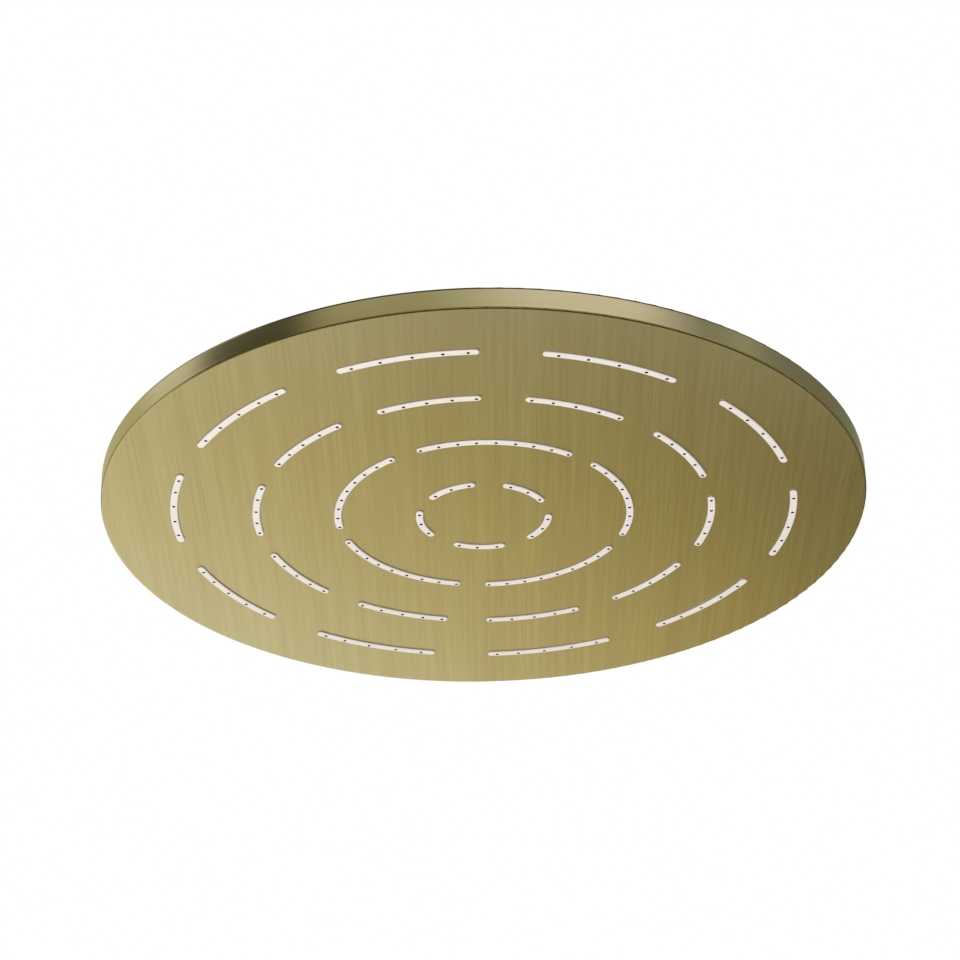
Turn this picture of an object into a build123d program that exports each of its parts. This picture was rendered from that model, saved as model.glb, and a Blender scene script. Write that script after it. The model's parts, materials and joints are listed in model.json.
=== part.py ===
from build123d import *
import os
from math import cos, degrees, pi, radians, sqrt

# Rain shower head, modelled as it comes apart on a bench. A drawn sheet pan carries arc-shaped silicone
# nozzle strips in its face. A moulded dish inside spreads the water, a screwed cover closes the back, and
# a swivel inlet on top hangs the head from its arm. Millimetres, +Z up, origin at the centre of the
# inlet's mouth. Heights in this file count from the face's outside, and the export moves them down.

# Pan
head_diameter = 300.0
rim_height = 8.7
pan_sheet = 0.6
bend_inside = 0.1
rim_edge_radius = 0.3
slot_clearance = 0.1

# Nozzle strips, one value for each ring, from the centre outwards
strip_counts = (5, 5, 10, 10)
strip_gaps = (10.9, 10.3, 16.3, 22.9)  # along the ring, between neighbours
nozzle_places = (  # from a strip's middle, as shares of its half length
    (-0.70, 0.06, 0.77),
    (-0.95, -0.71, -0.47, -0.24, 0.00, 0.24, 0.47, 0.71, 0.95),
    (-0.88, -0.47, -0.02, 0.46, 0.91),
    (-0.78, -0.36, 0.09, 0.51, 0.85),
)
ring_turns = (18.0, -18.0, 0.0, 0.0)  # middle of the ring's first strip, degrees
pattern_turn = 5.1
inner_ring_radius = 25.4
outer_ring_inset = 28.4
strip_width = 2.9
strip_stand_out = 0.7
crest_chamfer = 0.25
flange_reach = 1.5
flange_thickness = 1.0
nozzle_diameter = 1.3

# Back cover with its pillars and screws
cover_sheet = 1.2
cover_clearance = 0.2
outer_pillar_count = 10
inner_pillar_count = 5
pillar_diameter = 6.0
pillar_inset = 7.0
pillar_floor = 1.5
screw_diameter = 2.5
screw_clearance = 0.05
screw_tip_clearance = 0.5
countersink_land = 0.1

# Waterway dish and its seals
dish_wall = 1.8
dish_clearance = 1.0
foot_width = 8.0
foot_thickness = 2.5
rib_count = 10
rib_thickness = 1.6
rib_depth = 2.0
rib_start = 6.0
sleeve_wall = 2.0
sleeve_clearance = 0.3
gasket_thickness = 1.0
inlet_gasket_thickness = 0.6
inlet_gasket_width = 7.0

# Swivel: boss, ball, seats and collar
ball_diameter = 24.0
ball_bore = 9.0
ball_clearance = 0.1
seat_thickness = 2.0
seat_edge_angle = 75.0  # from the axis to the seats' facing edges
lower_seat_angle = 38.0  # from the axis to the lower seat's far edge
upper_seat_angle = 50.0  # from the axis to the upper seat's far edge
cup_wall = 1.8
boss_bore = 14.0
boss_flange_thickness = 3.0
boss_flange_ledge = 8.0
boss_edge_radius = 1.0
boss_top_drop = 1.0
spigot_diameter = 26.0
spigot_clearance = 0.1
collar_wall = 1.9
collar_clearance = 0.1
collar_gap = 0.5
collar_shoulder_rise = 2.0
collar_mouth_angle = 45.0
neck_diameter = 13.0
neck_gap = 4.3

# Inlet: hexagon with a G 1/2 socket, its root diameter without the thread's ridges
hex_across_flats = 27.0
hex_corner_chamfer = 1.2
hex_floor = 2.6
thread_diameter = 20.955
thread_length = 12.0
mouth_chamfer = 0.8
washer_step = 1.0
washer_clearance = 0.1
washer_thickness = 2.0
washer_bore = 11.0
screen_thickness = 0.4

# Radii that follow
head_radius = head_diameter / 2
rim_inside = head_radius - pan_sheet
ring_count = len(strip_counts)
ring_pitch = (head_radius - outer_ring_inset - inner_ring_radius) / (ring_count - 1)
ring_radii = [inner_ring_radius + ring * ring_pitch for ring in range(ring_count)]
strip_lengths = [
    2 * pi * radius / count - gap for radius, count, gap in zip(ring_radii, strip_counts, strip_gaps)
]
outer_pillar_circle = rim_inside - pillar_inset
inner_pillar_circle = (ring_radii[1] + ring_radii[2]) / 2
pillar_radius = pillar_diameter / 2
screw_radius = screw_diameter / 2
screw_head_depth = cover_sheet - countersink_land
screw_head_radius = screw_radius + screw_head_depth
dish_radius = outer_pillar_circle - pillar_radius - dish_clearance
dish_inside = dish_radius - foot_width
sleeve_bore = pillar_radius + sleeve_clearance
spigot_radius = spigot_diameter / 2
spigot_hole = spigot_radius + spigot_clearance
ball_radius = ball_diameter / 2
seat_inside = ball_radius + ball_clearance
seat_outside = seat_inside + seat_thickness
cup_radius = seat_outside + ball_clearance
boss_thread_radius = cup_radius + cup_wall
collar_bore = boss_thread_radius + collar_clearance
collar_radius = collar_bore + collar_wall
boss_flange_radius = collar_radius + boss_flange_ledge
thread_radius = thread_diameter / 2
washer_seat_radius = thread_radius - washer_step
washer_radius = washer_seat_radius - washer_clearance

# Heights that follow, from the face's outside
cover_underside = rim_height - cover_sheet
gasket_top = pan_sheet + gasket_thickness
roof_top = cover_underside - inlet_gasket_thickness
roof_underside = roof_top - dish_wall
boss_flange_top = rim_height + boss_flange_thickness
ball_height = boss_flange_top + cup_radius
hex_underside = ball_height + collar_radius * cos(radians(collar_mouth_angle)) + neck_gap
washer_seat_height = hex_underside + hex_floor
thread_end = washer_seat_height + screen_thickness + washer_thickness
mouth_height = thread_end + thread_length


def turned(*points):
    """Solid of revolution about Z from a closed outline of (radius, height) points."""
    return revolve(Plane.XZ * make_face(Polyline(*points, close=True)), Axis.Z)


def disc(radius, low, high):
    """Round plate or bore between two heights."""
    return Pos(0, 0, low) * Cylinder(radius, high - low, align=(Align.CENTER, Align.CENTER, Align.MIN))


def flat_ring(inside, outside, low, high):
    """Washer between two heights."""
    return disc(outside, low, high) - disc(inside, low, high)


def around(circle, count, turn=0.0):
    """Places on a circle, counted from the strip pattern's start."""
    return PolarLocations(circle, count, start_angle=pattern_turn + turn)


def inner_places():
    """Inner pillars between the second and third ring, each in line with a strip of the first."""
    return list(around(inner_pillar_circle, inner_pillar_count, ring_turns[0]))


def pillar_places():
    """Outer pillars between the outer strips' middles, and the inner pillars."""
    return list(around(outer_pillar_circle, outer_pillar_count, 180 / outer_pillar_count)) + inner_places()


def strip_turns(ring):
    """Angle of each strip's middle in a ring."""
    step = 360 / strip_counts[ring]
    return [pattern_turn + ring_turns[ring] + step * index for index in range(strip_counts[ring])]


def strip_bar(ring, growth, low, high):
    """Bar with round ends along a ring's arc, its middle on +X, larger than the strip's rib by growth."""
    span = degrees((strip_lengths[ring] - strip_width) / ring_radii[ring])
    path = CenterArc((0, 0), ring_radii[ring], -span / 2, span)
    return Pos(0, 0, low) * extrude(SlotArc(path, strip_width + 2 * growth), high - low)


def face_pan():
    """Drawn sheet pan: flat face, low rim, a small bend between them and a slot for each strip."""
    outside = disc(head_radius, 0, rim_height)
    outside = fillet(outside.edges().group_by(Axis.Z)[0], bend_inside + pan_sheet)
    outside = fillet(outside.edges().group_by(Axis.Z)[-1], rim_edge_radius)
    inside = disc(rim_inside, pan_sheet, rim_height)
    inside = fillet(inside.edges().group_by(Axis.Z)[0], bend_inside)
    slots = []
    for ring in range(ring_count):
        slot = strip_bar(ring, slot_clearance, 0, pan_sheet)
        slots += [Rot(0, 0, turn) * slot for turn in strip_turns(ring)]
    return outside - inside - slots


def nozzle_strip(ring):
    """Silicone strip: a rib that stands out of the face, a flange behind it and a row of nozzle bores."""
    flange_top = pan_sheet + flange_thickness
    rib = strip_bar(ring, 0, -strip_stand_out, flange_top)
    rib = chamfer(rib.faces().sort_by(Axis.Z)[0].outer_wire().edges(), crest_chamfer)
    flange = strip_bar(ring, flange_reach, pan_sheet, flange_top)
    half_span = degrees(strip_lengths[ring] / 2 / ring_radii[ring])
    bore = Pos(ring_radii[ring], 0, 0) * disc(nozzle_diameter / 2, -strip_stand_out, flange_top)
    bores = [Rot(0, 0, share * half_span) * bore for share in nozzle_places[ring]]
    return rib + flange - bores


def cover_pillars():
    """Pillars welded to the inside of the face, each with a threaded hole for a cover screw."""
    hole = disc(screw_radius + screw_clearance, pan_sheet + pillar_floor, cover_underside)
    pillar = disc(pillar_radius, pan_sheet, cover_underside) - hole
    return Compound(children=[place * pillar for place in pillar_places()])


def back_cover():
    """Flat disc flush with the rim, countersunk for its screws and open for the boss's spigot."""
    sheet = disc(rim_inside - cover_clearance, cover_underside, rim_height)
    low = screw_radius + screw_clearance
    high = screw_head_radius + screw_clearance
    cone_start = rim_height - screw_head_depth
    countersink = turned(
        (0, cover_underside),
        (low, cover_underside),
        (low, cone_start),
        (high, rim_height),
        (0, rim_height),
    )
    holes = [place * countersink for place in pillar_places()]
    return sheet - disc(spigot_hole, cover_underside, rim_height) - holes


def cover_screws():
    """Countersunk screws, flush with the cover."""
    tip = pan_sheet + pillar_floor + screw_tip_clearance
    screw = turned(
        (0, tip),
        (screw_radius, tip),
        (screw_radius, rim_height - screw_head_depth),
        (screw_head_radius, rim_height),
        (0, rim_height),
    )
    return Compound(children=[place * screw for place in pillar_places()])


def waterway_dish():
    """Moulded dish, open towards the face: roof, side wall with a foot and a clamping rim, ribs and sleeves."""
    wall_outside = dish_inside + dish_wall
    foot_top = gasket_top + foot_thickness
    dish = turned(
        (spigot_hole, roof_underside),
        (dish_inside, roof_underside),
        (dish_inside, gasket_top),
        (dish_radius, gasket_top),
        (dish_radius, foot_top),
        (wall_outside, foot_top),
        (wall_outside, cover_underside),
        (dish_inside, cover_underside),
        (dish_inside, roof_top),
        (spigot_hole, roof_top),
    )
    rib_low = roof_underside - rib_depth
    rib_length = dish_inside + dish_wall / 2 - spigot_hole - rib_start
    rib_place = Pos(spigot_hole + rib_start, 0, rib_low)
    rib_align = (Align.MIN, Align.CENTER, Align.MIN)
    rib = rib_place * Box(rib_length, rib_thickness, rib_depth + dish_wall / 2, align=rib_align)
    ribs = [place * rib for place in around(0, rib_count)]
    sleeve = disc(sleeve_bore + sleeve_wall, gasket_top, roof_top)
    hole = disc(sleeve_bore, gasket_top, roof_top)
    places = inner_places()
    return dish + ribs + [place * sleeve for place in places] - [place * hole for place in places]


def dish_gasket():
    """Flat ring under the dish's foot."""
    return flat_ring(dish_inside, dish_radius, pan_sheet, gasket_top)


def sleeve_seals():
    """Flat rings under the dish's sleeves."""
    seal = flat_ring(sleeve_bore, sleeve_bore + sleeve_wall, pan_sheet, gasket_top)
    return Compound(children=[place * seal for place in inner_places()])


def inlet_gasket():
    """Flat ring round the spigot, between the dish and the cover."""
    return flat_ring(spigot_hole, spigot_hole + inlet_gasket_width, roof_top, cover_underside)


def inlet_boss():
    """Turned boss on the cover: spigot down into the dish, flange, thread for the collar and the ball's cup."""
    bore = boss_bore / 2
    boss_top = ball_height - boss_top_drop
    boss = turned(
        (bore, roof_underside),
        (spigot_radius, roof_underside),
        (spigot_radius, rim_height),
        (boss_flange_radius, rim_height),
        (boss_flange_radius, boss_flange_top),
        (boss_thread_radius, boss_flange_top),
        (boss_thread_radius, boss_top),
        (bore, boss_top),
    )
    rim = boss.edges().filter_by(GeomType.CIRCLE).sort_by(SortBy.RADIUS)[-2:].sort_by(Axis.Z)[-1]
    return fillet(rim, boss_edge_radius) - Pos(0, 0, ball_height) * Sphere(cup_radius)


def ball_seat(low_angle, high_angle):
    """Ring between two spheres about the ball's centre, cut flat at the heights of two angles from +Z."""
    low = ball_height + seat_inside * cos(radians(low_angle))
    high = ball_height + seat_inside * cos(radians(high_angle))
    shell = Sphere(seat_outside) - Sphere(seat_inside)
    return (Pos(0, 0, ball_height) * shell) & disc(seat_outside, low, high)


def collar_nut():
    """Domed nut: threaded skirt over the boss, a dome that holds the upper seat, and a mouth for the neck."""
    bottom = boss_flange_top + collar_gap
    skirt = disc(collar_radius, bottom, ball_height)
    dome = (Pos(0, 0, ball_height) * Sphere(collar_radius)) & disc(
        collar_radius, ball_height, ball_height + collar_radius
    )
    thread = disc(collar_bore, bottom, ball_height + collar_shoulder_rise)
    mouth_rise = collar_radius + 1
    mouth_radius = mouth_rise * sqrt(1 / cos(radians(collar_mouth_angle)) ** 2 - 1)
    mouth = turned((0, ball_height), (mouth_radius, ball_height + mouth_rise), (0, ball_height + mouth_rise))
    return skirt + dome - thread - Pos(0, 0, ball_height) * Sphere(cup_radius) - mouth


def swivel_ball():
    """Ball, neck and hexagon in one turned piece, bored through, with the inlet's socket in its top."""
    hex_height = mouth_height - hex_underside
    hexagon = Pos(0, 0, hex_underside) * extrude(
        RegularPolygon(hex_across_flats / 2, 6, major_radius=False), hex_height
    )
    corners = disc(hex_across_flats / sqrt(3), hex_underside, mouth_height)
    hexagon = hexagon & chamfer(corners.edges().filter_by(GeomType.CIRCLE), hex_corner_chamfer)
    body = Pos(0, 0, ball_height) * Sphere(ball_radius) + disc(neck_diameter / 2, ball_height, hex_underside)
    socket = turned(
        (0, ball_height - ball_radius),
        (ball_bore / 2, ball_height - ball_radius),
        (ball_bore / 2, washer_seat_height),
        (washer_seat_radius, washer_seat_height),
        (washer_seat_radius, thread_end),
        (thread_radius, thread_end),
        (thread_radius, mouth_height - mouth_chamfer),
        (thread_radius + mouth_chamfer, mouth_height),
        (0, mouth_height),
    )
    return body + hexagon - socket


def filter_screen():
    """Mesh disc on the floor of the socket."""
    return disc(washer_radius, washer_seat_height, washer_seat_height + screen_thickness)


def filter_washer():
    """Rubber ring that holds the mesh and seals on the arm's end."""
    return flat_ring(washer_bore / 2, washer_radius, washer_seat_height + screen_thickness, thread_end)


def all_nodes():
    """Every piece by its name."""
    nodes = {
        "face_pan": face_pan(),
        "cover_pillars": cover_pillars(),
        "back_cover": back_cover(),
        "cover_screws": cover_screws(),
        "waterway_dish": waterway_dish(),
        "dish_gasket": dish_gasket(),
        "sleeve_seals": sleeve_seals(),
        "inlet_gasket": inlet_gasket(),
        "inlet_boss": inlet_boss(),
        "lower_seat": ball_seat(180 - lower_seat_angle, 180 - seat_edge_angle),
        "upper_seat": ball_seat(seat_edge_angle, upper_seat_angle),
        "collar_nut": collar_nut(),
        "swivel_ball": swivel_ball(),
        "filter_screen": filter_screen(),
        "filter_washer": filter_washer(),
    }
    for ring in range(ring_count):
        strip = nozzle_strip(ring)
        for index, turn in enumerate(strip_turns(ring), start=1):
            nodes[f"strip_r{ring + 1}_{index}"] = Rot(0, 0, turn) * strip
    return nodes


os.makedirs("parts", exist_ok=True)
for name, solid in all_nodes().items():
    export_step(Pos(0, 0, -mouth_height) * solid, f"parts/{name}.step")
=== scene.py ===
import json
from math import atan2, cos, pi, radians, sin, sqrt

import bpy
from mathutils import Matrix, Vector


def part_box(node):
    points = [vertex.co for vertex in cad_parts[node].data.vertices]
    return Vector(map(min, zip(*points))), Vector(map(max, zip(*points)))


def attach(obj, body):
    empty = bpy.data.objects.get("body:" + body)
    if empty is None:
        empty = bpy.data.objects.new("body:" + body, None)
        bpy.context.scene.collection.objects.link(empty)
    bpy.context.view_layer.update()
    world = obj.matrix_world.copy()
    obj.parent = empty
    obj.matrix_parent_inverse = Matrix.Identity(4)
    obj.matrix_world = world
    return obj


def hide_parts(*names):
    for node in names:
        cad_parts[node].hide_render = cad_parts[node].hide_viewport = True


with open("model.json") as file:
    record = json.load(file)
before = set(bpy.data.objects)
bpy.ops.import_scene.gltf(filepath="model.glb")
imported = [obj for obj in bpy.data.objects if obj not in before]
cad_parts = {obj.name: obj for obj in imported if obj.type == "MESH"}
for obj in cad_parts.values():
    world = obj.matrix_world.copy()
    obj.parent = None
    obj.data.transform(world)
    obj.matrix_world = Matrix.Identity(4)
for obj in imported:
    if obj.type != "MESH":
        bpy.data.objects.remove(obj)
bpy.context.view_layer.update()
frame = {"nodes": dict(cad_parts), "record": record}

# Rain shower head, seen from below as it hangs from its arm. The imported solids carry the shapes. This file
# adds the finishes, the inlet's thread, the screws' recesses, the woven filter and the studio.

bl_info = {
    "name": "Rain shower head",
    "version": (1, 0, 0),
    "blender": (4, 5, 0),
    "location": "View3D > Sidebar > Shower head",
    "description": "Finishes, inlet thread, screws, filter and studio for a brushed gold rain shower head",
    "category": "Object",
}

mm = 0.001
nodes = frame["nodes"]
strip_nodes = [name for name in nodes if name.startswith("strip_")]
face_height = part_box("face_pan")[0].z
cover_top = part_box("back_cover")[1].z
# A surface is finished as a flat one where the upright part of its normal is above this.
flat_from = 0.7


def linear(code):
    """Linear colour of an sRGB hex value."""
    parts = [int(code[start:start + 2], 16) / 255 for start in (1, 3, 5)]
    return [part / 12.92 if part <= 0.04045 else ((part + 0.055) / 1.055) ** 2.4 for part in parts]


def add_node(tree, kind, sockets, **settings):
    """Adds a node with its settings. A socket takes a value, or another node's output to be linked to."""
    made = tree.nodes.new(kind)
    for name, value in settings.items():
        setattr(made, name, value)
    for name, value in sockets.items():
        if isinstance(value, bpy.types.NodeSocket):
            tree.links.new(value, made.inputs[name])
        else:
            made.inputs[name].default_value = value
    return made


def colour_property(name, description, code):
    """Colour that a user may change, from its sRGB hex value."""
    return bpy.props.FloatVectorProperty(
        name=name, description=description, default=linear(code), subtype="COLOR", min=0, max=1
    )


def length_property(name, description, default):
    """Length in metres that a user may change."""
    return bpy.props.FloatProperty(
        name=name, description=description, default=default, unit="LENGTH", subtype="DISTANCE", precision=5
    )


def angle_property(name, description, degrees):
    """Angle that a user may change."""
    return bpy.props.FloatProperty(
        name=name, description=description, default=radians(degrees), unit="ROTATION", subtype="ANGLE"
    )


def number_property(name, description, default):
    """Plain number that a user may change."""
    return bpy.props.FloatProperty(name=name, description=description, default=default)


class ShowerSizes(bpy.types.PropertyGroup):
    """Sizes of the fine pieces that the solids leave out"""

    thread_pitch: length_property("Thread pitch", "Rise of the G 1/2 thread in one turn", 1.814 * mm)
    thread_depth: length_property("Thread depth", "From the thread's root to its crest", 1.16 * mm)
    screw_head: length_property("Screw head", "Radius of the countersunk head", 2.35 * mm)
    screw_shank: length_property("Screw shank", "Radius of the screw's shank", 1.25 * mm)
    recess_reach: length_property("Recess reach", "From the head's centre to the end of an arm", 1.35 * mm)
    recess_width: length_property("Recess width", "Width of the cross recess's arms", 0.62 * mm)
    recess_depth: length_property("Recess depth", "Depth of the cross recess", 1.2 * mm)
    wire_spacing: length_property("Wire spacing", "Between neighbouring wires of the filter", 0.9 * mm)


class ShowerFinishes(bpy.types.PropertyGroup):
    """Colours of the pieces"""

    gold: colour_property("Gold", "Brushed gold coating on the sheet and the brass", "#BCAE79")
    silicone: colour_property("Silicone", "Nozzle strips", "#F0EAE6")
    # Painted shade on the walls of the nozzle holes
    bore_shade: colour_property("Nozzle bores", "Shaded walls of the nozzle holes", "#231D22")
    rubber: colour_property("Rubber", "Gaskets and the filter's washer", "#1E1E20")
    dish: colour_property("Dish plastic", "Waterway dish", "#8E9193")
    seat: colour_property("Seat plastic", "Ball seats", "#E9E8E2")
    steel: colour_property("Steel", "Pillars and filter wire", "#B4B3AE")


class ShowerStage(bpy.types.PropertyGroup):
    """Camera and studio"""

    camera_distance: length_property("Camera distance", "From the aim point on the face", 1.1627)
    camera_elevation: angle_property("Camera elevation", "How far the camera looks up", 29.725)
    camera_roll: angle_property("Camera roll", "Turn of the picture", -1.121)
    aim_x: length_property("Aim x", "Aim point on the face", -0.00129)
    aim_y: length_property("Aim y", "Aim point on the face", -0.02828)
    floor_drop: length_property("Floor drop", "From the face down to the floor", 0.87)
    lens: number_property("Lens", "Focal length in millimetres", 113.03)
    floor: colour_property("Floor", "Pale studio floor", "#F1EEE8")
    floor_lift: number_property("Floor lift", "Light added to the floor as the camera sees it", 0.2)
    floor_far_lift: number_property("Far floor lift", "The same, where it meets the white behind it", 0.42)
    sweep_level: number_property("Sweep level", "Brightness of the sweep below the head", -0.354)
    sweep_slope_x: number_property("Sweep slope x", "Change of brightness in a metre to the right", -1.18)
    sweep_slope_y: number_property("Sweep slope y", "Change of brightness in a metre to the back", 0.66)
    sweep_warm: colour_property("Sweep warm", "Tint of the sweep on the right", "#FFF1AD")
    sweep_cool: colour_property("Sweep cool", "Tint of the sweep on the left", "#E8EFFF")


def new_material(name):
    """Empty node material."""
    material = bpy.data.materials.new(name)
    material.use_nodes = True
    material.node_tree.nodes.clear()
    return material, material.node_tree


def dress(names, material):
    """Gives CAD nodes a finish."""
    for name in names:
        for slot in nodes[name].material_slots:
            slot.material = material


def brushed_gold_sheet(finishes):
    """Stainless sheet, belt-brushed and then coated gold. The face and cover are brushed in straight lines
    along Y and the rim round its edge, so highlights spread across the lines and fine streaks run along
    them."""
    material, tree = new_material("brushed_gold_stainless")
    place = add_node(tree, "ShaderNodeTexCoord", {})
    normal = add_node(tree, "ShaderNodeSeparateXYZ", {0: place.outputs["Normal"]})
    upright = add_node(tree, "ShaderNodeMath", {0: normal.outputs["Z"]}, operation="ABSOLUTE")
    flat = add_node(tree, "ShaderNodeMath", {0: upright.outputs[0], 1: flat_from}, operation="GREATER_THAN")
    # Real grit lines are about 0.1 mm wide, drawn here 0.8 mm wide and 45 mm long so that they show.
    fine = 1 / (0.8 * mm)
    long = 1 / (45.45 * mm)
    scale = add_node(
        tree,
        "ShaderNodeMix",
        {0: flat.outputs[0], 4: (long, long, fine), 5: (fine, long, long)},
        data_type="VECTOR",
    )
    along = add_node(
        tree,
        "ShaderNodeVectorMath",
        {0: place.outputs["Object"], 1: scale.outputs[1]},
        operation="MULTIPLY",
    )
    # The belt wanders, so the lines gather in bands 2.7 mm wide and in soft patches about 12 mm wide.
    band_scale = 0.3
    patch_scale = 0.065
    lines = add_node(
        tree,
        "ShaderNodeTexNoise",
        {"Vector": along.outputs[0], "Scale": 1, "Detail": 2, "Roughness": 0.5},
    )
    bands = add_node(
        tree,
        "ShaderNodeTexNoise",
        {"Vector": along.outputs[0], "Scale": band_scale, "Detail": 2, "Roughness": 0.6},
    )
    patches = add_node(
        tree,
        "ShaderNodeTexNoise",
        {"Vector": along.outputs[0], "Scale": patch_scale, "Detail": 3, "Roughness": 0.6},
    )
    band_share = 0.5
    streak = add_node(tree, "ShaderNodeMix", {0: band_share, 2: lines.outputs[0], 3: bands.outputs[0]})
    patch_share = 0.35
    streak = add_node(tree, "ShaderNodeMix", {0: patch_share, 2: streak.outputs[0], 3: patches.outputs[0]})
    # The coat is a little darker and warmer in the deeper lines, and brighter and cooler on the lands.
    deep_shade = (0.94, 0.915, 0.88)
    land_shade = (1.06, 1.085, 1.12)
    dark = [shade * part for shade, part in zip(deep_shade, finishes.gold)]
    bright = [shade * part for shade, part in zip(land_shade, finishes.gold)]
    tone = add_node(
        tree,
        "ShaderNodeMapRange",
        {"Value": streak.outputs[0], "From Min": 0.36, "From Max": 0.64, "To Min": 0, "To Max": 1},
    )
    gold = add_node(
        tree,
        "ShaderNodeMix",
        {0: tone.outputs[0], 6: (*dark, 1), 7: (*bright, 1)},
        data_type="RGBA",
    )
    # Painted shade: the coat is painted darker on the bend under the rim and on the edge on top of it, so
    # that these edges show as dark lines.
    darkest_painted_shade = 0.68
    slant = add_node(
        tree, "ShaderNodeMath", {0: upright.outputs[0], 1: 2, 2: -1}, operation="MULTIPLY_ADD"
    )
    slant = add_node(tree, "ShaderNodeMath", {0: slant.outputs[0]}, operation="ABSOLUTE")
    painted_edge_shade = add_node(
        tree,
        "ShaderNodeMapRange",
        {"Value": slant.outputs[0], "From Min": 1, "From Max": 0.6, "To Min": 1, "To Max": darkest_painted_shade},
    )
    coat = add_node(
        tree, "ShaderNodeVectorMath", {0: gold.outputs[2], "Scale": painted_edge_shade.outputs[0]}, operation="SCALE"
    )
    rim_rough, face_rough, line_rough = 0.2, 0.22, 0.06
    base = add_node(tree, "ShaderNodeMix", {0: flat.outputs[0], 2: rim_rough, 3: face_rough})
    rough = add_node(
        tree,
        "ShaderNodeMath",
        {0: lines.outputs[0], 1: line_rough, 2: base.outputs[0]},
        operation="MULTIPLY_ADD",
    )
    across = add_node(
        tree,
        "ShaderNodeMix",
        {0: flat.outputs[0], 4: (0, 0, 1), 5: (1, 0, 0)},
        data_type="VECTOR",
    )
    tangent = add_node(
        tree,
        "ShaderNodeVectorTransform",
        {0: across.outputs[1]},
        vector_type="VECTOR",
        convert_from="OBJECT",
        convert_to="WORLD",
    )
    # Deeper grooves, 1.8 mm apart, tilt the surface a little and break up what it mirrors into hairlines.
    groove_scale = 0.45
    groove_depth = 0.045 * mm
    grooves = add_node(
        tree,
        "ShaderNodeTexNoise",
        {"Vector": along.outputs[0], "Scale": groove_scale, "Detail": 1, "Roughness": 0.5},
    )
    # The rim's top edge is rounded by the belt over its last 0.85 mm, so it mirrors what hangs above.
    edge_start = cover_top - 0.85 * mm
    edge_end = cover_top - 0.5 * mm
    heights = add_node(tree, "ShaderNodeSeparateXYZ", {0: place.outputs["Object"]})
    edge = add_node(
        tree,
        "ShaderNodeMapRange",
        {"Value": heights.outputs["Z"], "From Min": edge_start, "From Max": edge_end},
    )
    lean = add_node(tree, "ShaderNodeCombineXYZ", {2: edge.outputs[0]})
    leaning = add_node(
        tree,
        "ShaderNodeVectorMath",
        {0: place.outputs["Normal"], 1: lean.outputs[0]},
        operation="ADD",
    )
    rounded = add_node(
        tree,
        "ShaderNodeVectorTransform",
        {0: leaning.outputs[0]},
        vector_type="NORMAL",
        convert_from="OBJECT",
        convert_to="WORLD",
    )
    bump = add_node(
        tree,
        "ShaderNodeBump",
        {
            "Height": grooves.outputs[0],
            "Strength": 1.0,
            "Distance": groove_depth,
            "Normal": rounded.outputs[0],
        },
    )
    shader = add_node(
        tree,
        "ShaderNodeBsdfPrincipled",
        {
            "Base Color": coat.outputs[0],
            "Metallic": 1.0,
            "Roughness": rough.outputs[0],
            "Anisotropic": 0.85,
            "Tangent": tangent.outputs[0],
            "Normal": bump.outputs[0],
        },
    )
    add_node(tree, "ShaderNodeOutputMaterial", {"Surface": shader.outputs[0]})
    return material


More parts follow.
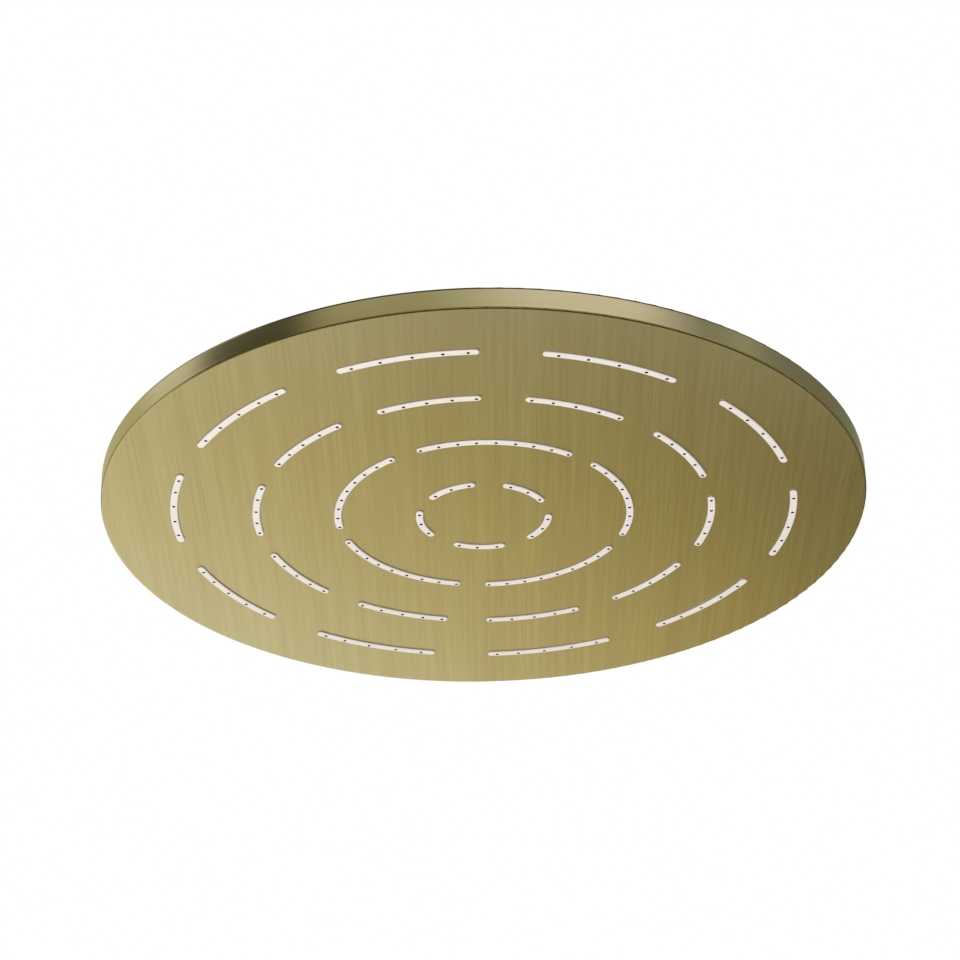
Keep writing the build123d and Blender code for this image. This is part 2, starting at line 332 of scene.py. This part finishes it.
def turned_gold_brass(finishes):
    """Brass turned on a lathe, brushed round and coated gold. The lines are rings about the axis, so each
    highlight spreads along the axis as a bright streak."""
    material, tree = new_material("turned_gold_brass")
    place = add_node(tree, "ShaderNodeTexCoord", {})
    level = add_node(
        tree, "ShaderNodeVectorMath", {0: place.outputs["Object"], 1: (1, 1, 0)}, operation="MULTIPLY"
    )
    reach = add_node(tree, "ShaderNodeVectorMath", {0: level.outputs[0]}, operation="LENGTH")
    parts = add_node(tree, "ShaderNodeSeparateXYZ", {0: place.outputs["Object"]})
    normal = add_node(tree, "ShaderNodeSeparateXYZ", {0: place.outputs["Normal"]})
    upright = add_node(tree, "ShaderNodeMath", {0: normal.outputs["Z"]}, operation="ABSOLUTE")
    flat = add_node(tree, "ShaderNodeMath", {0: upright.outputs[0], 1: flat_from}, operation="GREATER_THAN")
    # The tool moves outwards on a flat end and upwards on a side, the hexagon's flats too.
    travel = add_node(
        tree, "ShaderNodeMix", {0: flat.outputs[0], 2: parts.outputs["Z"], 3: reach.outputs["Value"]}
    )
    # Tool marks 0.1 mm apart and 20 mm long, drawn 0.4 mm apart so that they show.
    mark_spacing = 0.4 * mm
    mark_length = 20 * mm
    drift = add_node(
        tree,
        "ShaderNodeVectorMath",
        {0: level.outputs[0], "Scale": mark_spacing / mark_length},
        operation="SCALE",
    )
    ahead = add_node(tree, "ShaderNodeCombineXYZ", {2: travel.outputs[0]})
    rings = add_node(
        tree, "ShaderNodeVectorMath", {0: drift.outputs[0], 1: ahead.outputs[0]}, operation="ADD"
    )
    lines = add_node(
        tree,
        "ShaderNodeTexNoise",
        {"Vector": rings.outputs[0], "Scale": 1 / mark_spacing, "Detail": 2, "Roughness": 0.6},
    )
    deep_shade = 0.88
    land_shade = 1.08
    dark = [deep_shade * part for part in finishes.gold]
    bright = [min(1, land_shade * part) for part in finishes.gold]
    gold = add_node(
        tree,
        "ShaderNodeMix",
        {0: lines.outputs[0], 6: (*dark, 1), 7: (*bright, 1)},
        data_type="RGBA",
    )
    rough = add_node(
        tree,
        "ShaderNodeMapRange",
        {"Value": lines.outputs[0], "From Min": 0.3, "From Max": 0.7, "To Min": 0.22, "To Max": 0.32},
    )
    round_about = add_node(tree, "ShaderNodeTangent", {}, direction_type="RADIAL", axis="Z")
    bump = add_node(
        tree, "ShaderNodeBump", {"Height": lines.outputs[0], "Strength": 0.15, "Distance": 0.02 * mm}
    )
    shader = add_node(
        tree,
        "ShaderNodeBsdfPrincipled",
        {
            "Base Color": gold.outputs[2],
            "Metallic": 1.0,
            "Roughness": rough.outputs[0],
            "Anisotropic": 0.6,
            "Anisotropic Rotation": 0.25,
            "Tangent": round_about.outputs[0],
            "Normal": bump.outputs[0],
        },
    )
    add_node(tree, "ShaderNodeOutputMaterial", {"Surface": shader.outputs[0]})
    return material


def moulded(name, colour, roughness, grain, bore_shade=None, **sockets):
    """Moulded polymer: one colour with a faint cloud in it and the fine grain of its mould. The walls of
    narrow bores are painted a second, dark colour as painted shade."""
    material, tree = new_material(name)
    place = add_node(tree, "ShaderNodeTexCoord", {})
    cloud_width = 12 * mm
    cloud = add_node(
        tree, "ShaderNodeTexNoise", {"Vector": place.outputs["Object"], "Scale": 1 / cloud_width, "Detail": 2}
    )
    skin = add_node(
        tree, "ShaderNodeTexNoise", {"Vector": place.outputs["Object"], "Scale": 1 / grain, "Detail": 2}
    )
    cloud_shade = 0.93
    shade = [cloud_shade * part for part in colour]
    tint = add_node(
        tree,
        "ShaderNodeMix",
        {0: cloud.outputs[0], 6: (*shade, 1), 7: (*colour, 1)},
        data_type="RGBA",
    )
    if bore_shade:
        # A bore's wall has less room before it than this, and the surface outside has more. The walls are
        # painted dark there as painted shade.
        bore_width = 1.3 * mm
        wall_room, open_room = 0.75, 0.84
        room = add_node(
            tree, "ShaderNodeAmbientOcclusion", {"Distance": bore_width}, samples=8, only_local=True
        )
        outside = add_node(
            tree,
            "ShaderNodeMapRange",
            {"Value": room.outputs["AO"], "From Min": wall_room, "From Max": open_room},
        )
        tint = add_node(
            tree,
            "ShaderNodeMix",
            {0: outside.outputs[0], 6: (*bore_shade, 1), 7: tint.outputs[2]},
            data_type="RGBA",
        )
    spread = 0.06
    rough = add_node(
        tree,
        "ShaderNodeMapRange",
        {"Value": skin.outputs[0], "To Min": roughness - spread, "To Max": roughness + spread},
    )
    bump = add_node(
        tree, "ShaderNodeBump", {"Height": skin.outputs[0], "Strength": 0.05, "Distance": 0.02 * mm}
    )
    shader = add_node(
        tree,
        "ShaderNodeBsdfPrincipled",
        {
            "Base Color": tint.outputs[2],
            "Roughness": rough.outputs[0],
            "Normal": bump.outputs[0],
            **sockets,
        },
    )
    add_node(tree, "ShaderNodeOutputMaterial", {"Surface": shader.outputs[0]})
    return material


def drawn_steel(finishes):
    """Bright drawn stainless wire and bar, with a soft sheen and fine marks, which are drawn 0.5 mm apart so
    that they show."""
    material, tree = new_material("drawn_stainless_steel")
    place = add_node(tree, "ShaderNodeTexCoord", {})
    mark_spacing = 0.5 * mm
    marks = add_node(
        tree,
        "ShaderNodeTexNoise",
        {"Vector": place.outputs["Object"], "Scale": 1 / mark_spacing, "Detail": 2},
    )
    deep_shade = 0.85
    dark = [deep_shade * part for part in finishes.steel]
    steel = add_node(
        tree,
        "ShaderNodeMix",
        {0: marks.outputs[0], 6: (*dark, 1), 7: (*finishes.steel, 1)},
        data_type="RGBA",
    )
    rough = add_node(
        tree, "ShaderNodeMapRange", {"Value": marks.outputs[0], "To Min": 0.22, "To Max": 0.36}
    )
    shader = add_node(
        tree,
        "ShaderNodeBsdfPrincipled",
        {"Base Color": steel.outputs[2], "Metallic": 1.0, "Roughness": rough.outputs[0]},
    )
    add_node(tree, "ShaderNodeOutputMaterial", {"Surface": shader.outputs[0]})
    return material


def new_piece(name, points, faces, material, body):
    """Mesh piece from points and faces, riding on a body, with the slot that it takes its finish from."""
    mesh = bpy.data.meshes.new(name)
    mesh.from_pydata(points, [], faces)
    mesh.materials.append(material)
    piece = bpy.data.objects.new(name, mesh)
    bpy.context.scene.collection.objects.link(piece)
    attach(piece, body)
    return piece


class SHOWER_OT_pan(bpy.types.Operator):
    """Brushed gold on the pan and its back cover"""

    bl_idname = "shower.pan"
    bl_label = "Pan and cover"

    def execute(self, context):
        dress(["face_pan", "back_cover"], brushed_gold_sheet(context.scene.shower_finishes))
        return {"FINISHED"}


class SHOWER_OT_strips(bpy.types.Operator):
    """White silicone on the nozzle strips"""

    bl_idname = "shower.strips"
    bl_label = "Nozzle strips"

    def execute(self, context):
        finishes = context.scene.shower_finishes
        # Liquid silicone, moulded: matt and a little translucent, so its edges look soft. Little light gets
        # into its narrow bores, so their walls are painted dark as painted shade and show as dark dots.
        silicone = moulded(
            "moulded_white_silicone",
            finishes.silicone,
            roughness=0.5,
            grain=0.3 * mm,
            bore_shade=finishes.bore_shade,
            **{"Subsurface Weight": 0.15, "Subsurface Radius": (1, 0.8, 0.7), "Subsurface Scale": 0.4 * mm},
        )
        dress(strip_nodes, silicone)
        return {"FINISHED"}


class SHOWER_OT_swivel(bpy.types.Operator):
    """Turned brass on the boss, collar and ball, and the plastic seats between them"""

    bl_idname = "shower.swivel"
    bl_label = "Swivel"

    def execute(self, context):
        finishes = context.scene.shower_finishes
        dress(["inlet_boss", "collar_nut", "swivel_ball"], turned_gold_brass(finishes))
        # Turned PTFE: waxy white with a soft sheen.
        seat = moulded("turned_white_ptfe", finishes.seat, roughness=0.35, grain=0.2 * mm)
        dress(["lower_seat", "upper_seat"], seat)
        return {"FINISHED"}


class SHOWER_OT_inside(bpy.types.Operator):
    """Finishes of the dish, the seals, the pillars and the filter's washer"""

    bl_idname = "shower.inside"
    bl_label = "Inside"

    def execute(self, context):
        finishes = context.scene.shower_finishes
        # Injection-moulded ABS, satin.
        plastic = moulded("moulded_grey_abs", finishes.dish, roughness=0.45, grain=0.4 * mm)
        dress(["waterway_dish"], plastic)
        # EPDM sheet: near black and matt.
        rubber = moulded("black_epdm_rubber", finishes.rubber, roughness=0.65, grain=0.25 * mm)
        dress(["dish_gasket", "sleeve_seals", "inlet_gasket", "filter_washer"], rubber)
        dress(["cover_pillars", "filter_screen"], drawn_steel(finishes))
        return {"FINISHED"}


class SHOWER_OT_thread(bpy.types.Operator):
    """Ridges of the pipe thread inside the inlet"""

    bl_idname = "shower.thread"
    bl_label = "Inlet thread"

    steps = 72  # in a turn
    lead_in = 0.2  # turns
    # Halves of the ridge's root and crest, as shares of the pitch, and how far its root sinks into the wall
    root_share = 0.46
    crest_share = 0.12
    sink = 0.01 * mm

    def execute(self, context):
        sizes = context.scene.shower_sizes
        mount = frame["record"]["mounts"][0]
        root = mount["dims"]["r_mm"] * mm
        length = mount["dims"]["length_mm"] * mm
        mouth = mount["pos_m"][2]
        half_root = self.root_share * sizes.thread_pitch
        half_crest = self.crest_share * sizes.thread_pitch
        turns = (length - 2 * half_root) / sizes.thread_pitch
        count = int(turns * self.steps)
        points = []
        for step in range(count + 1):
            turn = step / self.steps
            grown = min(1, turn / self.lead_in, (count - step) / self.steps / self.lead_in)
            crest = root - sizes.thread_depth * grown
            height = mouth - length + half_root + turn * sizes.thread_pitch
            for radius, offset in (
                (root + self.sink, -half_root),
                (crest, -half_crest),
                (crest, half_crest),
                (root + self.sink, half_root),
            ):
                angle = 2 * pi * turn
                points.append((radius * cos(angle), radius * sin(angle), height + offset))
        faces = []
        for step in range(count):
            for side in range(4):
                after = (side + 1) % 4
                faces.append((4 * step + side, 4 * step + after, 4 * step + 4 + after, 4 * step + 4 + side))
        faces += [(3, 2, 1, 0), tuple(4 * count + side for side in range(4))]
        brass = nodes["swivel_ball"].material_slots[0].material
        new_piece("inlet_thread", points, faces, brass, "inlet")
        return {"FINISHED"}


class SHOWER_OT_screws(bpy.types.Operator):
    """Countersunk cover screws with a cross recess"""

    bl_idname = "shower.screws"
    bl_label = "Cover screws"

    # The tip's radius and height as shares of the shank's radius
    tip_radius = 0.6
    tip_height = 0.4
    # The recess narrows to this share of its outline at this share of its depth, and to a point at its end
    taper = 0.6
    taper_depth = 0.8
    point = 0.1
    # Turn between the stops of neighbouring screws, so that no two stand alike
    stop_step = 0.9
    # Keeps the recess's outline from a division by nothing
    tiny = 1e-9

    def places(self, reach):
        """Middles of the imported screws, seen from above."""
        screws = []
        for vertex in nodes["cover_screws"].data.vertices:
            spot = vertex.co * Vector((1, 1, 0))
            near = [screw for screw in screws if (screw[0] - spot).length < reach]
            if near:
                near[0].append(spot)
            else:
                screws.append([spot])
        middles = []
        for screw in screws:
            spans = [[spot[axis] for spot in screw] for axis in (0, 1)]
            x, y = [(min(span) + max(span)) / 2 for span in spans]
            middles.append(Vector((x, y, 0)))
        return middles

    def execute(self, context):
        sizes = context.scene.shower_sizes
        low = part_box("cover_screws")[0].z
        neck = cover_top - (sizes.screw_head - sizes.screw_shank)
        corner = atan2(sizes.recess_width / 2, sizes.recess_reach)
        between = 0.5 * (corner + pi / 4)
        angles = []
        for quarter in range(4):
            for turn in (-corner, 0, corner, between, pi / 4, pi / 2 - between):
                angles.append(quarter * pi / 2 + turn)
        angles.sort()

        def arm(angle):
            """Distance from the head's centre to the recess's edge."""
            across = abs(cos(angle)) + self.tiny
            upward = abs(sin(angle)) + self.tiny
            wide = min(sizes.recess_reach / across, sizes.recess_width / 2 / upward)
            tall = min(sizes.recess_width / 2 / across, sizes.recess_reach / upward)
            return max(wide, tall)

        rings = [
            (lambda angle: self.tip_radius * sizes.screw_shank, low),
            (lambda angle: sizes.screw_shank, low + self.tip_height * sizes.screw_shank),
            (lambda angle: sizes.screw_shank, neck),
            (lambda angle: sizes.screw_head, cover_top),
            (arm, cover_top),
            (lambda angle: self.taper * arm(angle), cover_top - self.taper_depth * sizes.recess_depth),
            (lambda angle: self.point * arm(angle), cover_top - sizes.recess_depth),
        ]
        points = []
        faces = []
        side = len(angles)
        for index, centre in enumerate(self.places(2 * sizes.screw_head)):
            start = len(points)
            stop = self.stop_step * index
            for reach, height in rings:
                for angle in angles:
                    offset = (reach(angle) * cos(angle + stop), reach(angle) * sin(angle + stop), height)
                    points.append(centre + Vector(offset))
            for ring in range(len(rings) - 1):
                for place in range(side):
                    after = (place + 1) % side
                    base = start + ring * side
                    faces.append((base + place, base + after, base + side + after, base + side + place))
            faces.append([start + place for place in reversed(range(side))])
            faces.append([start + (len(rings) - 1) * side + place for place in range(side)])
        gold = nodes["swivel_ball"].material_slots[0].material
        screws = new_piece("cover_screws_recessed", points, faces, gold, "head")
        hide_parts("cover_screws")
        return {"FINISHED"}


class SHOWER_OT_filter(bpy.types.Operator):
    """Woven wire filter on the inlet's floor"""

    bl_idname = "shower.filter"
    bl_label = "Filter mesh"

    # A smooth spline passes its points at a third of their height, so the points stand three times as high.
    overshoot = 3

    def execute(self, context):
        sizes = context.scene.shower_sizes
        low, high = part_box("filter_screen")
        thickness = high.z - low.z
        wire = thickness / 4
        middle = (low.z + high.z) / 2
        spacing = sizes.wire_spacing
        reach = high.x - wire
        curve = bpy.data.curves.new("filter_mesh", "CURVE")
        curve.dimensions = "3D"
        curve.bevel_depth = wire
        curve.bevel_resolution = 1
        curve.resolution_u = 3
        count = int(reach / spacing)
        for direction in (0, 1):
            for row in range(-count, count + 1):
                half = sqrt(reach ** 2 - (row * spacing) ** 2)
                crossings = int(half / spacing)
                if crossings < 1:
                    continue
                spline = curve.splines.new("NURBS")
                spline.points.add(2 * crossings)
                for index, column in enumerate(range(-crossings, crossings + 1)):
                    over = 1 if (row + column + direction) % 2 else -1
                    rise = middle + self.overshoot * over * wire
                    flat = (column * spacing, row * spacing)
                    spline.points[index].co = (flat[direction], flat[1 - direction], rise, 1)
                spline.order_u = 4
                spline.use_endpoint_u = True
        mesh = bpy.data.objects.new("filter_mesh", curve)
        context.scene.collection.objects.link(mesh)
        curve.materials.append(nodes["filter_screen"].material_slots[0].material)
        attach(mesh, "inlet")
        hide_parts("filter_screen")
        return {"FINISHED"}


class SHOWER_OT_stage(bpy.types.Operator):
    """Pale floor, soft light, grey cards that the metal mirrors, and the camera below the head"""

    bl_idname = "shower.stage"
    bl_label = "Studio"

    # Cloths of the tent round the head, hung by azimuth from the camera's side in degrees.
    cloths = {
        "white": "#D8DCFF",
        "pale": "#CACEDA",
        "middle": "#A1A5A6",
        "grey": "#7A7F8F",
        "black": "#4C4D4D",
        "straw": "#AAA78C",
        "sand": "#6E7268",
    }
    hung = (
        (-165, "straw"),
        (-119, "straw"),
        (-109, "pale"),
        (-92, "pale"),
        (-84, "black"),
        (-55, "black"),
        (-44, "middle"),
        (-14, "middle"),
        (16, "white"),
        (46, "white"),
        (67, "grey"),
        (82, "middle"),
        (91, "grey"),
        (112, "sand"),
        (145, "sand"),
        (165, "straw"),
    )
    tent_radius = 2.0
    tent_heights = (-0.27, 3.0)
    tent_strength = 1.6
    # Below these heights the cloths turn warmer, so that the cover keeps its gold at a low angle.
    ground_tint = "#FFF7C4"
    ground_fade = (0.8, 0.5)
    # Metres of floor each way from the middle, and where it fades to the white behind it
    floor_half = 30
    floor_fade = (2, 14)
    # The sweep: half its width, its profile as y and height above its low end, and its height over the floor
    sweep_half = 1.2
    sweep_profile = ((0.5, 0), (2.3, 0), (2.8, 0.2), (3.1, 0.6), (3.2, 1.1))
    sweep_rise = 0.015
    sweep_least = 0.02
    # It turns cool to the left along this direction, and from far to near. Under the head it is warm again,
    # so that a tilted face keeps its gold.
    cool_lean = (-1, 0.6, 0)
    cool_fade = (0.97, 1.47)
    near_fade = (1.3, 1.08)
    near_added = 0.28
    under_fade = (0.6, 0.95)
    # Pale patches on the sweep: x and y of the middle, reach, and what is added to brightness and coolness.
    # The patch is even up to a share of its reach.
    patches = ((0.48, 1.12, 0.42, 0.42, 0.65), (-0.2, 1.11, 0.24, 0.16, 0.7))
    patch_core = 0.36
    # Dark cards: right edge, height of the upper one and of the lower one over the floor. Their left edges
    # are pairs of y and x. The lower one is cut away on the left, where the bare floor shows, so that the
    # bend is as pale as the face there.
    card_tone = "#645E46"
    card_right = 3
    card_height = 2.9
    card_rise = 0.005
    card_whole = ((-2.3, -3), (2.3, -3))
    card_cut = ((-2.3, -3), (-0.15, -3), (0.1, -0.45), (2.3, -0.45))
    # Lamps: place, height aimed at, size and power
    lamps = {
        "lamp_above": ((-0.95, -0.8, 1.25), 0, 1.1, 11),
        "lamp_below": ((-0.4, -0.7, -0.7), face_height, 0.8, 5.5),
    }
    fill_strength = 0.75

    def glossy_only(self, piece):
        """A card is there for the metal's reflections alone."""
        piece.visible_camera = False
        piece.visible_diffuse = False
        piece.visible_shadow = False
        piece.visible_transmission = False
        piece.visible_volume_scatter = False

    def card_material(self, name, code):
        """Card of one even tone."""
        material, tree = new_material(name)
        card = add_node(tree, "ShaderNodeEmission", {"Color": (*linear(code), 1), "Strength": 1.0})
        add_node(tree, "ShaderNodeOutputMaterial", {"Surface": card.outputs[0]})
        material.cycles.emission_sampling = "NONE"
        return material

    def add_sheet(self, name, rows, material):
        """Sheet through rows of points, as part of the stage."""
        mesh = bpy.data.meshes.new(name)
        width = len(rows[0])
        points = [point for row in rows for point in row]
        faces = []
        for row in range(len(rows) - 1):
            for place in range(width - 1):
                first = row * width + place
                faces.append((first, first + 1, first + width + 1, first + width))
        mesh.from_pydata(points, [], faces)
        mesh.materials.append(material)
        sheet = bpy.data.objects.new(name, mesh)
        bpy.context.scene.collection.objects.link(sheet)
        return sheet

    def add_floor(self, stage):
        """Pale matt floor. The camera sees it a little lifted, so that it meets the white behind it, and it
        keeps the head's shadow."""
        material, tree = new_material("painted_floor")
        paint = add_node(
            tree,
            "ShaderNodeBsdfPrincipled",
            {"Base Color": (*stage.floor, 1), "Roughness": 0.9, "Specular IOR Level": 0},
        )
        place = add_node(tree, "ShaderNodeTexCoord", {})
        reach = add_node(tree, "ShaderNodeVectorMath", {0: place.outputs["Object"]}, operation="LENGTH")
        begin, end = self.floor_fade
        fade = add_node(
            tree,
            "ShaderNodeMapRange",
            {
                "Value": reach.outputs["Value"],
                "From Min": begin,
                "From Max": end,
                "To Min": stage.floor_lift,
                "To Max": stage.floor_far_lift,
            },
            interpolation_type="SMOOTHSTEP",
        )
        ray = add_node(tree, "ShaderNodeLightPath", {})
        lift = add_node(
            tree,
            "ShaderNodeMath",
            {0: ray.outputs["Is Camera Ray"], 1: fade.outputs[0]},
            operation="MULTIPLY",
        )
        glow = add_node(tree, "ShaderNodeEmission", {"Color": (1, 1, 1, 1), "Strength": lift.outputs[0]})
        both = add_node(tree, "ShaderNodeAddShader", {0: paint.outputs[0], 1: glow.outputs[0]})
        add_node(tree, "ShaderNodeOutputMaterial", {"Surface": both.outputs[0]})
        material.cycles.emission_sampling = "NONE"
        height = face_height - stage.floor_drop
        ends = (-self.floor_half, self.floor_half)
        rows = [[(x, y, height) for x in ends] for y in ends]
        self.add_sheet("floor", rows, material)

    def add_sweep(self, stage):
        """Graduated sheet below and behind the head, which the face mirrors. It is bright and cool on the
        left, grey and warm on the right, and has two pale patches."""
        material, tree = new_material("graduated_sweep")
        place = add_node(tree, "ShaderNodeTexCoord", {})
        slope = add_node(
            tree,
            "ShaderNodeVectorMath",
            {0: place.outputs["Object"], 1: (stage.sweep_slope_x, stage.sweep_slope_y, 0)},
            operation="DOT_PRODUCT",
        )
        level = add_node(
            tree, "ShaderNodeMath", {0: slope.outputs["Value"], 1: stage.sweep_level}, operation="ADD"
        )
        level = add_node(
            tree, "ShaderNodeMath", {0: level.outputs[0], 1: self.sweep_least}, operation="MAXIMUM"
        )
        lean = add_node(
            tree,
            "ShaderNodeVectorMath",
            {0: place.outputs["Object"], 1: self.cool_lean},
            operation="DOT_PRODUCT",
        )
        begin, end = self.cool_fade
        left = add_node(
            tree, "ShaderNodeMapRange", {"Value": lean.outputs["Value"], "From Min": begin, "From Max": end}
        )
        parts = add_node(tree, "ShaderNodeSeparateXYZ", {0: place.outputs["Object"]})
        begin, end = self.near_fade
        near = add_node(
            tree, "ShaderNodeMapRange", {"Value": parts.outputs["Y"], "From Min": begin, "From Max": end}
        )
        begin, end = self.under_fade
        under = add_node(
            tree, "ShaderNodeMapRange", {"Value": parts.outputs["Y"], "From Min": begin, "From Max": end}
        )
        cool = add_node(
            tree, "ShaderNodeMath", {0: near.outputs[0], 1: under.outputs[0]}, operation="MULTIPLY"
        )
        cool = add_node(
            tree, "ShaderNodeMath", {0: left.outputs[0], 1: cool.outputs[0]}, operation="MAXIMUM"
        )
        level = add_node(
            tree,
            "ShaderNodeMath",
            {0: near.outputs[0], 1: self.near_added, 2: level.outputs[0]},
            operation="MULTIPLY_ADD",
        )
        low = face_height - stage.floor_drop + self.sweep_rise
        for x, y, reach, added, coolness in self.patches:
            away = add_node(
                tree,
                "ShaderNodeVectorMath",
                {0: place.outputs["Object"], 1: (x, y, low)},
                operation="DISTANCE",
            )
            patch = add_node(
                tree,
                "ShaderNodeMapRange",
                {"Value": away.outputs["Value"], "From Min": reach, "From Max": self.patch_core * reach},
                interpolation_type="SMOOTHSTEP",
            )
            level = add_node(
                tree,
                "ShaderNodeMath",
                {0: patch.outputs[0], 1: added, 2: level.outputs[0]},
                operation="MULTIPLY_ADD",
            )
            cool = add_node(
                tree,
                "ShaderNodeMath",
                {0: patch.outputs[0], 1: coolness, 2: cool.outputs[0]},
                operation="MULTIPLY_ADD",
            )
        tint = add_node(
            tree,
            "ShaderNodeMix",
            {0: cool.outputs[0], 6: (*stage.sweep_warm, 1), 7: (*stage.sweep_cool, 1)},
            data_type="RGBA",
        )
        card = add_node(
            tree, "ShaderNodeEmission", {"Color": tint.outputs[2], "Strength": level.outputs[0]}
        )
        add_node(tree, "ShaderNodeOutputMaterial", {"Surface": card.outputs[0]})
        material.cycles.emission_sampling = "NONE"
        ends = (-self.sweep_half, self.sweep_half)
        rows = [[(x, y, low + rise) for x in ends] for y, rise in self.sweep_profile]
        self.glossy_only(self.add_sheet("sweep", rows, material))

    def add_dark_cards(self, stage):
        """Dark sheets on the floor and over the head, which the edges mirror as thin dark lines."""
        material = self.card_material("dark_card", self.card_tone)
        low = face_height - stage.floor_drop + self.card_rise
        cards = (("card_below", low, self.card_cut), ("card_above", self.card_height, self.card_whole))
        for name, height, outline in cards:
            rows = [[(left, y, height), (self.card_right, y, height)] for y, left in outline]
            self.glossy_only(self.add_sheet(name, rows, material))

    def add_tent(self):
        """Ring of graded cloth round the head, which the rim and the turned parts mirror."""
        material, tree = new_material("graded_tent")
        place = add_node(tree, "ShaderNodeTexCoord", {})
        parts = add_node(tree, "ShaderNodeSeparateXYZ", {0: place.outputs["Object"]})
        front = add_node(tree, "ShaderNodeMath", {0: parts.outputs["Y"], 1: -1}, operation="MULTIPLY")
        azimuth = add_node(
            tree, "ShaderNodeMath", {0: parts.outputs["X"], 1: front.outputs[0]}, operation="ARCTAN2"
        )
        share = add_node(
            tree, "ShaderNodeMapRange", {"Value": azimuth.outputs[0], "From Min": -pi, "From Max": pi}
        )
        ramp = add_node(tree, "ShaderNodeValToRGB", {0: share.outputs[0]})
        stops = ramp.color_ramp.elements
        stops.remove(stops[1])
        for index, (angle, cloth) in enumerate(self.hung):
            stop = stops[0] if index == 0 else stops.new(0.5 + angle / 360)
            stop.position = 0.5 + angle / 360
            stop.color = (*linear(self.cloths[cloth]), 1)
        begin, end = self.ground_fade
        depth = add_node(
            tree, "ShaderNodeMapRange", {"Value": parts.outputs["Z"], "From Min": begin, "From Max": end}
        )
        cloth = add_node(
            tree,
            "ShaderNodeMix",
            {0: depth.outputs[0], 6: ramp.outputs[0], 7: (*linear(self.ground_tint), 1)},
            data_type="RGBA",
            blend_type="MULTIPLY",
        )
        card = add_node(
            tree, "ShaderNodeEmission", {"Color": cloth.outputs[2], "Strength": self.tent_strength}
        )
        add_node(tree, "ShaderNodeOutputMaterial", {"Surface": card.outputs[0]})
        material.cycles.emission_sampling = "NONE"
        angles = [radians(angle) for angle in range(0, 365, 5)]
        ring = [(self.tent_radius * sin(angle), -self.tent_radius * cos(angle)) for angle in angles]
        rows = [[(x, y, height) for x, y in ring] for height in self.tent_heights]
        self.glossy_only(self.add_sheet("tent", rows, material))

    def add_lamp(self, name, place, aim, size, power):
        """Soft square lamp that the metal doesn't mirror."""
        lamp = bpy.data.lights.new(name, "AREA")
        lamp.size = size
        lamp.energy = power
        made = bpy.data.objects.new(name, lamp)
        made.location = place
        made.rotation_euler = (Vector(aim) - Vector(place)).to_track_quat("-Z", "Y").to_euler()
        made.visible_glossy = False
        bpy.context.scene.collection.objects.link(made)

    def add_world(self, scene):
        """Even fill light, with a white background for the camera and for reflections."""
        world = bpy.data.worlds.new("studio_world")
        world.use_nodes = True
        scene.world = world
        tree = world.node_tree
        tree.nodes.clear()
        ray = add_node(tree, "ShaderNodeLightPath", {})
        seen = add_node(
            tree,
            "ShaderNodeMath",
            {0: ray.outputs["Is Camera Ray"], 1: ray.outputs["Is Glossy Ray"]},
            operation="MAXIMUM",
        )
        seen = add_node(
            tree,
            "ShaderNodeMath",
            {0: seen.outputs[0], 1: ray.outputs["Is Transmission Ray"]},
            operation="MAXIMUM",
        )
        strength = add_node(
            tree,
            "ShaderNodeMapRange",
            {"Value": seen.outputs[0], "To Min": self.fill_strength, "To Max": 1.0},
        )
        sky = add_node(
            tree, "ShaderNodeBackground", {"Color": (1, 1, 1, 1), "Strength": strength.outputs[0]}
        )
        add_node(tree, "ShaderNodeOutputWorld", {"Surface": sky.outputs[0]})

    def add_camera(self, scene, stage):
        """Camera below the head, looking up at its face."""
        level = stage.camera_elevation
        forward = Vector((0, cos(level), sin(level)))
        right = Vector((1, 0, 0))
        up = right.cross(forward)
        roll = stage.camera_roll
        side = cos(roll) * right + sin(roll) * up
        top = cos(roll) * up - sin(roll) * right
        aim = Vector((stage.aim_x, stage.aim_y, face_height))
        turn = Matrix((side, top, -forward)).transposed()
        data = bpy.data.cameras.new("camera")
        data.lens = stage.lens
        camera = bpy.data.objects.new("camera", data)
        camera.matrix_world = Matrix.Translation(aim - stage.camera_distance * forward) @ turn.to_4x4()
        scene.collection.objects.link(camera)
        scene.camera = camera

    def execute(self, context):
        scene = context.scene
        stage = scene.shower_stage
        scene.view_settings.view_transform = "Standard"
        self.add_floor(stage)
        self.add_sweep(stage)
        self.add_dark_cards(stage)
        self.add_tent()
        self.add_world(scene)
        for name, (place, height, size, power) in self.lamps.items():
            self.add_lamp(name, place, (0, 0, height), size, power)
        self.add_camera(scene, stage)
        return {"FINISHED"}


class SHOWER_PT_panel(bpy.types.Panel):
    """Lists the steps that dress the shower head"""

    bl_idname = "SHOWER_PT_panel"
    bl_label = "Shower head"
    bl_space_type = "VIEW_3D"
    bl_region_type = "UI"
    bl_category = "Shower head"

    def draw(self, context):
        for operator in operators:
            self.layout.operator(operator.bl_idname)


operators = (
    SHOWER_OT_pan,
    SHOWER_OT_strips,
    SHOWER_OT_swivel,
    SHOWER_OT_inside,
    SHOWER_OT_thread,
    SHOWER_OT_screws,
    SHOWER_OT_filter,
    SHOWER_OT_stage,
)
groups = {"shower_sizes": ShowerSizes, "shower_finishes": ShowerFinishes, "shower_stage": ShowerStage}


def register():
    for kind in (*groups.values(), *operators, SHOWER_PT_panel):
        bpy.utils.register_class(kind)
    for name, group in groups.items():
        setattr(bpy.types.Scene, name, bpy.props.PointerProperty(type=group))


def unregister():
    for name in groups:
        delattr(bpy.types.Scene, name)
    for kind in (SHOWER_PT_panel, *reversed(operators), *groups.values()):
        bpy.utils.unregister_class(kind)


def main():
    register()
    bpy.ops.shower.pan()
    bpy.ops.shower.strips()
    bpy.ops.shower.swivel()
    bpy.ops.shower.inside()
    bpy.ops.shower.thread()
    bpy.ops.shower.screws()
    bpy.ops.shower.filter()
    bpy.ops.shower.stage()


if __name__ == "__main__":
    main()
